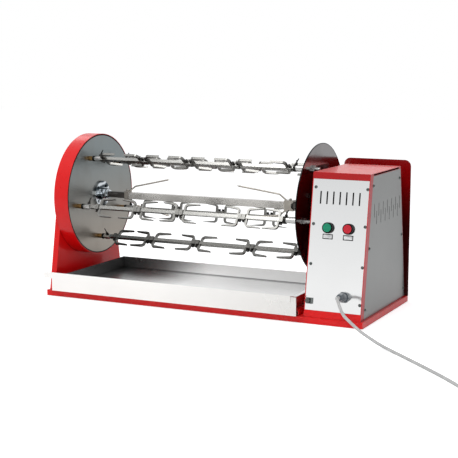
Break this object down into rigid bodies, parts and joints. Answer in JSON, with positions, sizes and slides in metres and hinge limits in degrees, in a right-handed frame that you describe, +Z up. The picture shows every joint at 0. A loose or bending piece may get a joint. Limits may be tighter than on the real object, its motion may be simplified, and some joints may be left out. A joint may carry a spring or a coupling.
{
  "type": "wood-fired rotisserie",
  "caption": "Open rotisserie with a red sheet base, a gear drum, a leaning motor housing, a carousel of forked spits between two discs and a wide slide-out drip tray",
  "frame": {"origin": "middle of the base footprint, on the floor under the rubber feet", "axes": "+X from the drum to the motor housing, along the spits; -Y is the front, where the tray and the buttons are; +Z up"},
  "size_m": [1.504, 0.9348, 0.476],
  "materials": {
    "red_paint": "glossy red powder coat",
    "dark_red_paint": "glossy deep red",
    "panel_steel": "satin light grey panel",
    "grey_panel": "brushed grey sheet",
    "disc_steel": "brushed sheet, a little heat stained",
    "tray_steel": "bright brushed sheet",
    "bar_steel": "drawn stainless bar",
    "fork_steel": "bent stainless strip",
    "chromed": "bright plated",
    "dark_steel": "blackened steel",
    "zinc_steel": "zinc plated",
    "gear_steel": "machined steel, oiled",
    "cast_grey": "painted casting",
    "bronze": "sintered bronze",
    "aluminium_grey": "cast aluminium",
    "rubber_black": "moulded rubber",
    "black_plastic": "moulded plastic",
    "grey_plastic": "moulded plastic",
    "green_cap": "green push cap",
    "red_cap": "red push cap",
    "white_plate": "white legend plate",
    "cord_pvc": "light grey sheath"
  },
  "bodies": {
    "base": {"base_pan": "red_paint", "rubber_feet": "rubber_black", "tray_rails": "zinc_steel", "stand_foot": "red_paint", "gear_drum": "red_paint", "sun_gear": "gear_steel", "frame_bolts": "zinc_steel", "flange_bearings": "cast_grey", "housing_body": "red_paint", "front_cover": "panel_steel", "side_cover": "grey_panel", "cover_screws": "zinc_steel", "heat_shield": "dark_red_paint", "shield_spacers": "zinc_steel", "bonding_clamp": "zinc_steel", "gearbox": "aluminium_grey", "motor": "cast_grey", "button_bezels": "black_plastic", "legend_plates": "white_plate", "contact_blocks": "black_plastic", "cable_gland": "grey_plastic", "cord_run": "cord_pvc", "cord_coil": "cord_pvc", "mains_plug": "black_plastic"},
    "carousel": {"left_disc": "disc_steel", "right_disc": "disc_steel", "hub_flanges": "chromed", "hub_fasteners": "chromed", "left_axle": "dark_steel", "right_axle": "dark_steel", "centre_beam": "bar_steel", "drive_gear": "gear_steel", "disc_bushes": "bronze", "tail_studs": "zinc_steel"},
    "spit_a": {"spit_a_bar": "bar_steel", "spit_a_forks": "fork_steel", "spit_a_clamps": "dark_steel", "spit_a_drive": "zinc_steel"},
    "spit_b": {"spit_b_bar": "bar_steel", "spit_b_forks": "fork_steel", "spit_b_clamps": "dark_steel", "spit_b_drive": "zinc_steel"},
    "spit_c": {"spit_c_bar": "bar_steel", "spit_c_forks": "fork_steel", "spit_c_clamps": "dark_steel", "spit_c_drive": "zinc_steel"},
    "spit_d": {"spit_d_bar": "bar_steel", "spit_d_forks": "fork_steel", "spit_d_clamps": "dark_steel", "spit_d_drive": "zinc_steel"},
    "spit_e": {"spit_e_bar": "bar_steel", "spit_e_forks": "fork_steel", "spit_e_clamps": "dark_steel", "spit_e_drive": "zinc_steel"},
    "pinion": {"motor_pinion": "gear_steel"},
    "tray": {"drip_tray": "tray_steel"},
    "start_button": {"start_button": "green_cap"},
    "stop_button": {"stop_button": "red_cap"},
    "left_clamp": {"left_clamp": "bar_steel"},
    "right_clamp": {"right_clamp": "bar_steel"}
  },
  "joints": [
    {"name": "carousel_spin", "type": "hinge", "parent": "base", "child": "carousel", "pos_m": [0, 0, 0.291], "axis": [1, 0, 0], "continuous": true},
    {"name": "spit_a_spin", "type": "hinge", "parent": "carousel", "child": "spit_a", "pos_m": [0, -0.06203, 0.40525], "axis": [1, 0, 0], "continuous": true},
    {"name": "spit_b_spin", "type": "hinge", "parent": "carousel", "child": "spit_b", "pos_m": [0, -0.12782, 0.26731], "axis": [1, 0, 0], "continuous": true},
    {"name": "spit_c_spin", "type": "hinge", "parent": "carousel", "child": "spit_c", "pos_m": [0, -0.01697, 0.16211], "axis": [1, 0, 0], "continuous": true},
    {"name": "spit_d_spin", "type": "hinge", "parent": "carousel", "child": "spit_d", "pos_m": [0, 0.11734, 0.23503], "axis": [1, 0, 0], "continuous": true},
    {"name": "spit_e_spin", "type": "hinge", "parent": "carousel", "child": "spit_e", "pos_m": [0, 0.08949, 0.3853], "axis": [1, 0, 0], "continuous": true},
    {"name": "pinion_spin", "type": "hinge", "parent": "base", "child": "pinion", "pos_m": [0.355, 0, 0.201], "axis": [1, 0, 0], "continuous": true},
    {"name": "tray_slide", "type": "slide", "parent": "base", "child": "tray", "axis": [0, -1, 0], "range_m": [0, 0.3]},
    {"name": "start_button_press", "type": "slide", "parent": "base", "child": "start_button", "axis": [0, 0.9876, -0.157], "range_m": [0, 0.0035], "stiffness_N_per_m": 800},
    {"name": "stop_button_press", "type": "slide", "parent": "base", "child": "stop_button", "axis": [0, 0.9876, -0.157], "range_m": [0, 0.0035], "stiffness_N_per_m": 800},
    {"name": "left_clamp_slide", "type": "slide", "parent": "carousel", "child": "left_clamp", "axis": [1, 0, 0], "range_m": [0, 0.1]},
    {"name": "right_clamp_slide", "type": "slide", "parent": "carousel", "child": "right_clamp", "axis": [-1, 0, 0], "range_m": [0, 0.1]}
  ],
  "couplings": [
    {"joint": "spit_a_spin", "follows": "carousel_spin", "ratio": 2.25},
    {"joint": "spit_b_spin", "follows": "carousel_spin", "ratio": 2.25},
    {"joint": "spit_c_spin", "follows": "carousel_spin", "ratio": 2.25},
    {"joint": "spit_d_spin", "follows": "carousel_spin", "ratio": 2.25},
    {"joint": "spit_e_spin", "follows": "carousel_spin", "ratio": 2.25},
    {"joint": "pinion_spin", "follows": "carousel_spin", "ratio": -2.3333}
  ]
}
